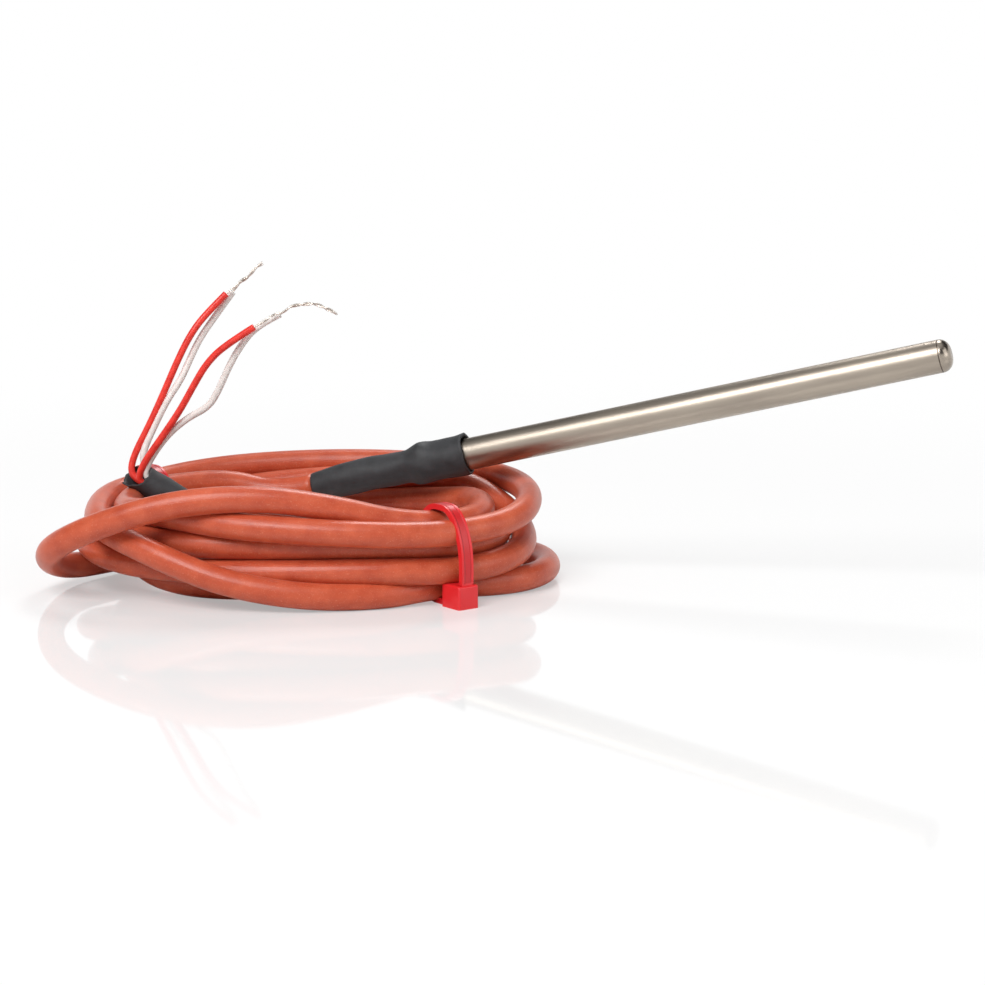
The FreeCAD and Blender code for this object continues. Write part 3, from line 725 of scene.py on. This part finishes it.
class PROBE_OT_cable(bpy.types.Operator):
    """Winds the silicone cable from the sleeve's mouth round the hank to its far end, in the end sleeve."""

    bl_idname = "probe.cable"
    bl_label = "Wind cable"

    def execute(self, context):
        settings = context.scene.probe_cable
        material = silicone(settings)
        line = evenly(route_line(cable_points(settings), "cable_route"), CABLE_STEP * MM)
        piece = tube_piece("cable", line, settings.diameter / 2, CABLE_SIDES, (0.0, 0.0, 1.0), material)
        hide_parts("cable_lead_out", "cable_hank", "cable_loose_loop", "cable_tail")
        give(["cable_in_sleeve"], material)
        return {"FINISHED"}


class PROBE_OT_sheath(bpy.types.Operator):
    """Finishes the steel sheath and the pieces sealed inside it."""

    bl_idname = "probe.sheath"
    bl_label = "Finish sheath"

    def execute(self, context):
        give(["sheath"], ground_steel(context.scene.probe_sheath))
        give(["sensing_element", "filling"], plain_inner("fired_alumina", "#EDE8DB", 0.6))
        give(["rear_seal"], plain_inner("cast_epoxy", "#3A3632", 0.35))
        wire = tinned_copper()
        give(["element_wires", "splice_a", "splice_b"], wire)
        leads = context.scene.probe_leads
        white = insulation("inner_white_silicone", leads.white, linear("#D8D2CC"))
        red = insulation("inner_red_silicone", leads.red, linear("#D32E25"))
        give(["splice_tube_a", "splice_tube_b", "white_core_a", "white_core_b"], white)
        give(["red_core_a", "red_core_b"], red)
        return {"FINISHED"}


class PROBE_OT_ties(bpy.types.Operator):
    """Finishes the two cable ties."""

    bl_idname = "probe.ties"
    bl_label = "Finish ties"

    def execute(self, context):
        settings = context.scene.probe_ties
        for name, (middle, heading, _, _) in zip(["tie_front", "tie_back"], TIES):
            give([name], nylon("moulded_nylon_" + name, settings, middle, heading))
        return {"FINISHED"}


# Sleeve on the probe: place along the axis from the lip, radius at its top and its underside, millimetres
SLEEVE_LINE = [
    (-31.0, 2.52, 2.52), (-29.5, 2.68, 2.66), (-27.0, 2.98, 2.95), (-23.0, 3.3, 3.0), (-19.0, 3.32, 3.0),
    (-15.0, 3.24, 3.04), (-12.0, 3.16, 3.1), (-10.4, 3.55, 3.6), (-9.0, 4.06, 3.74), (-8.0, 4.04, 3.74),
    (-6.8, 3.78, 3.7), (-5.0, 3.74, 3.7), (-3.5, 3.84, 3.74), (-1.6, 3.92, 3.78), (-0.4, 4.04, 3.8),
    (0.0, 4.06, 3.8),
]
SLEEVE_COLUMNS = 72
# What is inside it: the sheath's rim, and the bores that stay clear of the cable and of the sheath
RIM_PLACE = -9.0
BORE_ON_CABLE = 2.43
BORE_ON_SHEATH = 3.04
# Creases of the shrunk wall: height, waves round it, waves along it in radians per millimetre, phase
CREASES = [(0.07, 3, 0.5, 0.4), (0.06, 5, -0.9, 2.0), (0.04, 2, 0.28, 0.0)]
# Where the knife left a small tab on the lip, in radians round it
TAB_ANGLE = 1.75

# Sleeve at the cable's end: its bore, how far its mouth stands past the cable, and the slope of the cut
END_COLUMNS = 64
END_BORE = 2.46
MOUTH_PAST_CABLE = 4.1
MOUTH_SLOPE_UP = 0.55
MOUTH_SLOPE_NEAR = 0.5
# The mouth's ragged cut: height, waves round it, phase
RAGGED = [(0.2, 3, 1.0), (0.1, 7, 0.0), (0.06, 13, 2.0)]


def smooth_line(rows, count):
    """Rows joined by a smooth line, read at even steps of their first value."""
    rows = np.array(rows, float)
    fine = np.linspace(0, len(rows) - 1, 40 * len(rows))
    line = catmull_rom(np.vstack([2 * rows[:1] - rows[1:2], rows, 2 * rows[-1:] - rows[-2:-1]]), fine)
    place = np.linspace(rows[0, 0], rows[-1, 0], count)
    others = [np.interp(place, line[:, 0], line[:, k]) for k in range(1, rows.shape[1])]
    return np.stack([place] + others, 1)


def sleeve_surface(settings):
    """Grid of the sleeve: along the outside to the lip, round the rim and back along the inside.

    The outside's radius is the mean of its top and underside lines, plus half their difference times the
    sine round the circle, plus creases: sums of height * sin(waves * angle + k * place + phase)."""
    outside = smooth_line(SLEEVE_LINE, 90)
    angle = np.arange(SLEEVE_COLUMNS) * (2 * np.pi / SLEEVE_COLUMNS)
    x = np.repeat(outside[:, :1], SLEEVE_COLUMNS, 1)
    top, underside = outside[:, 1:2], outside[:, 2:3]
    radius = (top + underside) / 2 + (top - underside) / 2 * np.sin(angle)[None]
    # deeper creases where the sleeve steps off the sheath's rim, and none at its end on the cable
    step = np.exp(-((x - RIM_PLACE + 0.5) / 2.6) ** 2)
    creases = sum(height * np.sin(n * angle[None] + k * x + phase) for height, n, k, phase in CREASES)
    radius = radius + creases * (0.55 + 0.9 * step) * np.clip((x - x[0]) / 4.0, 0, 1)
    # the cut lip wanders, and has the tab at its top
    tab = 0.55 * np.exp(-((angle - TAB_ANGLE) / 0.16) ** 2)
    wander = 0.14 * np.sin(2 * angle + 0.8) + 0.08 * np.sin(5 * angle)
    near_lip = np.clip((x + 3.0) / 3.0, 0, 1) ** 2
    x = x + near_lip * (tab + wander)[None]
    radius = radius + near_lip * 0.22 * np.exp(-((angle - TAB_ANGLE) / 0.3) ** 2)[None]
    bore = np.where(x < RIM_PLACE, BORE_ON_CABLE, BORE_ON_SHEATH)
    inner = np.maximum(radius - settings.wall / MM, bore)
    middle = (radius[-1] + inner[-1]) / 2
    profile = np.vstack([
        np.stack([x, radius], -1),
        np.stack([x[-1] + 0.12, middle + 0.1], -1)[None],
        np.stack([x[-1] + 0.08, middle - 0.12], -1)[None],
        np.stack([x, inner], -1)[::-1],
    ])
    along = profile[..., 0] * (settings.length / MM / -SLEEVE_LINE[0][0])
    y = profile[..., 1] * np.cos(angle)[None]
    z = profile[..., 1] * np.sin(angle)[None]
    return on_probe(np.stack([along, y, z], -1).reshape(-1, 3)) * MM, len(profile)


class PROBE_OT_sleeves(bpy.types.Operator):
    """Shrinks the black sleeves over the probe's end and the cable's far end."""

    bl_idname = "probe.sleeves"
    bl_label = "Shrink sleeves"

    def execute(self, context):
        settings = context.scene.probe_sleeves
        material = shrink_tubing(settings)
        vertices, rows = sleeve_surface(settings)
        faces = grid_faces(rows, SLEEVE_COLUMNS, close_rows=True)[:, ::-1]
        piece = mesh_piece("probe_sleeve_skin", vertices, faces.tolist(), material)
        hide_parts("probe_sleeve")
        end = self.end_sleeve(settings, material)
        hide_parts("end_sleeve")
        return {"FINISHED"}

    def end_sleeve(self, settings, material):
        """A thin tube cut off at a slant, ragged by a few tenths.

        At each angle the cut stands back from the mouth's middle by radius * (ring . facing) /
        (heading . facing), and the slant fades out along the first 6 mm."""
        end, heading, across, above = cable_end()
        mouth = end + heading * MOUTH_PAST_CABLE
        facing = heading + MOUTH_SLOPE_UP * above - MOUTH_SLOPE_NEAR * np.array([0.0, 1.0, 0.0])
        angle = np.arange(END_COLUMNS) * (2 * np.pi / END_COLUMNS)
        ring = np.cos(angle)[:, None] * across + np.sin(angle)[:, None] * above
        slant = -(ring @ facing) / (heading @ facing)
        ragged = sum(height * np.sin(n * angle + phase) for height, n, phase in RAGGED)
        place = np.linspace(-settings.end_length / MM, 0.0, 40)[:, None]
        swell = 0.06 * np.sin(place * 0.9) + 0.05 * np.sin(2 * angle + 1)[None]
        outer = settings.end_radius / MM + swell
        inner = END_BORE + swell * 0.5
        blend = np.clip(1 + place / 6.0, 0, 1) ** 1.5
        outside = place + blend * (outer * slant + ragged)
        inside = place + blend * (inner * slant + ragged)
        middle = (outside[-1:] + inside[-1:]) / 2 + 0.08
        rim = (outer[-1:] + inner[-1:]) / 2
        rows = np.concatenate([
            mouth + outside[..., None] * heading + outer[..., None] * ring,
            mouth + middle[..., None] * heading + rim[..., None] * ring,
            (mouth + inside[..., None] * heading + inner[..., None] * ring)[::-1],
        ])
        faces = grid_faces(len(rows), END_COLUMNS, close_rows=True)
        return mesh_piece("end_sleeve_skin", rows.reshape(-1, 3) * MM, faces.tolist(), material)


# The leads' routes past the end sleeve's mouth
RED_A_ROUTE = [
    (-63.2, 1.0, -4.0), (-62.8, 2.0, -0.8), (-59.6, 3.1, 5.3), (-56.8, 4.1, 11.5), (-54.3, 5.1, 17.3),
    (-51.9, 6.1, 22.0), (-49.2, 7.2, 25.5), (-45.4, 8.2, 29.2),
]
WHITE_A_ROUTE = [
    (-61.2, 1.5, -0.8), (-59.6, 2.8, 3.2), (-56.4, 3.9, 9.7), (-54.0, 5.1, 13.1), (-52.4, 6.3, 16.7),
    (-50.8, 7.5, 20.2), (-48.8, 8.6, 23.3), (-44.3, 9.8, 29.4),
]
RED_B_ROUTE = [
    (-61.6, -0.9, -4.4), (-60.4, -1.3, -1.4), (-57.1, -1.7, 3.2), (-53.4, -2.1, 8.5), (-50.9, -2.4, 13.0),
    (-48.3, -2.8, 17.4), (-44.9, -3.2, 20.8), (-39.3, -3.6, 24.3),
]
WHITE_B_ROUTE = [
    (-60.4, -0.7, -3.6), (-59.3, -0.7, -0.8), (-56.0, -0.9, 3.8), (-52.2, -1.0, 7.0), (-48.1, -1.1, 9.1),
    (-46.2, -1.3, 12.3), (-44.4, -1.4, 16.4), (-42.3, -1.5, 20.2), (-39.1, -1.7, 24.3), (-34.6, -1.8, 26.5),
]
# Twisted ends: points from beyond the leads' ends to the tip
TWIST_A_ROUTE = [(-41.9, 9.3, 31.9), (-40.4, 9.3, 33.4), (-38.5, 9.3, 34.9)]
TWIST_B_ROUTE = [(-32.1, -3.0, 28.3), (-29.4, -3.0, 28.6), (-26.4, -3.0, 28.2), (-24.0, -3.0, 26.5)]
# A core's middle from the cable's, both across and over it
CORE_OFFSET = 0.74
# Lead, side and level of its core, first straight run, its route, its pair's, and its turn in the pair
LEADS = [
    ("red_lead_a", 1, -1, 2.4, RED_A_ROUTE, TWIST_A_ROUTE, 0.0),
    ("white_lead_a", 1, 1, 2.0, WHITE_A_ROUTE, TWIST_A_ROUTE, math.pi),
    ("red_lead_b", -1, -1, 2.4, RED_B_ROUTE, TWIST_B_ROUTE, 0.0),
    ("white_lead_b", -1, 1, 1.6, WHITE_B_ROUTE, TWIST_B_ROUTE, math.pi),
]
LEAD_STEP = 0.35
LEAD_SIDES = 18

# Bare ends: six strands laid round a middle one, and the two bundles of a pair wound round each other
STRANDS = 7
STRAND_STEP = 0.12
STRAND_SIDES = 8
LAY_PITCH = 10.0
PAIR_PITCH = 4.4
PAIR_RADIUS = 0.18
FRAY_LENGTH = 1.2


class PROBE_OT_leads(bpy.types.Operator):
    """Runs the four insulated leads and their bare twisted strands."""

    bl_idname = "probe.leads"
    bl_label = "Run leads"

    def execute(self, context):
        settings = context.scene.probe_leads
        red = insulation("red_silicone_insulation", settings.red, linear("#D62F27"))
        white = insulation("white_silicone_insulation", settings.white, linear("#E0DBD6"))
        wire = tinned_copper()
        end, heading, across, above = cable_end()
        for name, side, level, first_run, route, twist, phase in LEADS:
            start = end + across * (side * CORE_OFFSET) + above * (level * CORE_OFFSET)
            points = np.vstack([[start, start + heading * first_run], np.array(route)]) * MM
            line = evenly(route_line(points, name + "_route"), LEAD_STEP * MM)
            material = red if name.startswith("red") else white
            lead = tube_piece(
                name + "_skin", line, settings.diameter / 2, LEAD_SIDES, (0.0, 1.0, 0.0), material
            )
            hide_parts(name)
            bare = self.strands(name, line, twist, phase, settings, wire)
            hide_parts("bare_" + name)
        return {"FINISHED"}

    def strands(self, name, lead_line, twist, phase, settings, material):
        """Strands laid round each other, in a bundle that winds round its pair's middle line.

        A strand is middle + pair radius * (cos, sin)(pair's turn) + strand * (cos, sin)(its own turn), and
        the last millimetre frays open."""
        end = lead_line[-1] / MM
        heading = (lead_line[-1] - lead_line[-4]) / np.linalg.norm(lead_line[-1] - lead_line[-4])
        start = np.array([end - heading * 0.6, end + heading * 1.2])
        points = np.vstack([start, np.array(twist)]) * MM
        line = evenly(route_line(points, name + "_strand_route"), STRAND_STEP * MM)
        across, over = sections(line, (0.0, 1.0, 0.0))
        s = distance_along(line) / MM
        paired = np.clip((s - 1.5) / 2.0, 0, 1)[:, None]
        turn = (s / PAIR_PITCH * 2 * np.pi + phase)[:, None]
        middle = line + PAIR_RADIUS * MM * paired * (np.cos(turn) * across + np.sin(turn) * over)
        fray = (1 + 0.9 * np.clip((s - s[-1] + FRAY_LENGTH) / FRAY_LENGTH, 0, 1) ** 2)[:, None]
        vertices, faces, offset = [], [], 0
        for k in range(STRANDS):
            lay = (s / LAY_PITCH * 2 * np.pi + k * 2 * np.pi / (STRANDS - 1))[:, None]
            radius = (0.0 if k == STRANDS - 1 else 1.0) * settings.strand * fray
            strand = middle + radius * (np.cos(lay) * across + np.sin(lay) * over)
            # cut to uneven lengths
            strand = strand[:len(strand) - (k * 3) % STRANDS]
            ring, quads, fans, _ = tube_arrays(strand, settings.strand / 2, STRAND_SIDES, (0.0, 1.0, 0.0))
            vertices.append(ring)
            faces += (quads + offset).tolist() + (fans + offset).tolist()
            offset += len(ring)
        return mesh_piece("bare_" + name + "_strands", np.vstack(vertices), faces, material)


# Lamps, all aimed at the sleeve's lip: name, place and width in metres, power in watts
LAMPS = [
    ("key", (-0.3, -0.55, 0.62), 0.45, 6.0),
    ("fill", (0.75, -0.35, 0.45), 0.6, 1.9),
    ("back", (0.1, 0.6, 0.75), 0.3, 3.4),
]
FLOOR_HALF = 3.0
CAMERA_ASIDE = 4.6


class PROBE_OT_stage(bpy.types.Operator):
    """Sets up the pale floor, soft lights, white surroundings and camera."""

    bl_idname = "probe.stage"
    bl_label = "Set stage"

    def execute(self, context):
        self.floor()
        self.surroundings(context.scene)
        for name, place, width, power in LAMPS:
            self.lamp(name, place, width, power)
        self.camera(context.scene)
        context.scene.view_settings.view_transform = "Standard"
        return {"FINISHED"}

    def floor(self):
        """A white acrylic sheet: all white from 0.28 m out, with shadow and reflection within 0.1 m."""
        material, tree = new_material("white_acrylic_sheet")
        path = node(tree, "ShaderNodeLightPath")
        sheet = node(tree, "ShaderNodeBsdfPrincipled", {
            "Base Color": rgba(grey(0.84)), "Roughness": 0.05, "IOR": 1.49,
        })
        glow = node(tree, "ShaderNodeEmission", {"Color": rgba(grey(1.0))})
        place = node(tree, "ShaderNodeTexCoord").outputs["Object"]
        reach = node(tree, "ShaderNodeVectorMath", {0: place}, operation="LENGTH").outputs["Value"]
        white = node(tree, "ShaderNodeMapRange", {
            "Value": reach, "From Min": 0.1, "From Max": 0.28, "To Min": 0.38, "To Max": 1.0,
        }, interpolation_type="SMOOTHSTEP")
        share = node(tree, "ShaderNodeMath", {
            0: path.outputs["Is Camera Ray"], 1: white.outputs["Result"],
        }, operation="MULTIPLY")
        mixed = node(tree, "ShaderNodeMixShader", {
            0: share.outputs[0], 1: sheet.outputs["BSDF"], 2: glow.outputs["Emission"],
        })
        node(tree, "ShaderNodeOutputMaterial", {"Surface": mixed.outputs[0]})
        mesh = bpy.data.meshes.new("floor")
        signs = np.array([(-1, -1), (1, -1), (1, 1), (-1, 1)])
        corners = np.hstack([signs * FLOOR_HALF, np.full((4, 1), FLOOR * MM)])
        mesh.from_pydata(corners, [], [(0, 1, 2, 3)])
        mesh.materials.append(material)
        put("floor", mesh)

    def surroundings(self, scene):
        """White to the camera, white low down and dark higher up in the gloss, and a soft grey light."""
        world = bpy.data.worlds.new("studio")
        world.use_nodes = True
        tree = world.node_tree
        tree.nodes.clear()
        path = node(tree, "ShaderNodeLightPath")
        heading = node(tree, "ShaderNodeTexCoord").outputs["Generated"]
        height = node(tree, "ShaderNodeSeparateXYZ", {0: heading}).outputs["Z"]
        sky = node(tree, "ShaderNodeValToRGB", {"Fac": height}, stops=[
            (0.0, grey(0.6)), (0.3, grey(0.4)), (0.8, grey(0.62)),
        ])
        gloss = node(tree, "ShaderNodeValToRGB", {"Fac": height}, stops=[
            (0.34, grey(1.0)), (0.42, grey(0.02)), (0.8, grey(0.03)), (0.95, grey(0.7)),
        ])
        soft = node(tree, "ShaderNodeBackground", {"Color": sky.outputs["Color"], "Strength": 0.6})
        shine = node(tree, "ShaderNodeBackground", {"Color": gloss.outputs["Color"]})
        white = node(tree, "ShaderNodeBackground", {"Color": rgba(grey(1.0))})
        lit = node(tree, "ShaderNodeMixShader", {
            0: path.outputs["Is Glossy Ray"], 1: soft.outputs[0], 2: shine.outputs[0],
        })
        mixed = node(tree, "ShaderNodeMixShader", {
            0: path.outputs["Is Camera Ray"], 1: lit.outputs[0], 2: white.outputs[0],
        })
        node(tree, "ShaderNodeOutputWorld", {"Surface": mixed.outputs[0]})
        scene.world = world

    def lamp(self, name, place, width, power):
        """A square soft box turned towards the sleeve's lip."""
        light = bpy.data.lights.new(name, "AREA")
        light.shape = "SQUARE"
        light.size = width
        light.energy = power
        holder = put(name, light)
        holder.location = place
        x, y, z = place
        holder.rotation_euler = (math.atan2(math.hypot(x, y), z), 0.0, math.atan2(x, -y))

    def camera(self, scene):
        settings = scene.probe_stage
        camera = bpy.data.cameras.new("camera")
        camera.lens = settings.lens
        camera.sensor_width = 36.0
        camera.clip_start = 0.01
        holder = put("camera", camera)
        holder.location = (CAMERA_ASIDE * MM, -settings.distance, settings.height)
        holder.rotation_euler = (math.pi / 2 - settings.tilt, 0.0, 0.0)
        scene.camera = holder


class PROBE_PT_panel(bpy.types.Panel):
    """Lists the steps that build the probe."""

    bl_label = "Temperature probe"
    bl_idname = "PROBE_PT_panel"
    bl_space_type = "VIEW_3D"
    bl_region_type = "UI"
    bl_category = "Probe"

    def draw(self, context):
        for step in STEPS:
            self.layout.operator(step.bl_idname)
        for group in GROUPS:
            box = self.layout.box()
            settings = getattr(context.scene, group)
            for name in GROUPS[group].__annotations__:
                box.prop(settings, name)


GROUPS = {
    "probe_cable": CableSettings,
    "probe_sleeves": SleeveSettings,
    "probe_leads": LeadSettings,
    "probe_ties": TieSettings,
    "probe_sheath": SheathSettings,
    "probe_stage": StageSettings,
}
STEPS = [PROBE_OT_sheath, PROBE_OT_ties, PROBE_OT_sleeves, PROBE_OT_cable, PROBE_OT_leads, PROBE_OT_stage]
CLASSES = list(GROUPS.values()) + STEPS + [PROBE_PT_panel]


def register():
    for kind in CLASSES:
        bpy.utils.register_class(kind)
    for name, group in GROUPS.items():
        setattr(bpy.types.Scene, name, PointerProperty(type=group))


def unregister():
    for name in GROUPS:
        delattr(bpy.types.Scene, name)
    for kind in reversed(CLASSES):
        bpy.utils.unregister_class(kind)


def main():
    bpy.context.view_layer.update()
    register()
    bpy.ops.probe.sheath()
    bpy.ops.probe.ties()
    bpy.ops.probe.sleeves()
    bpy.ops.probe.cable()
    bpy.ops.probe.leads()
    bpy.ops.probe.stage()


if __name__ == "__main__":
    main()
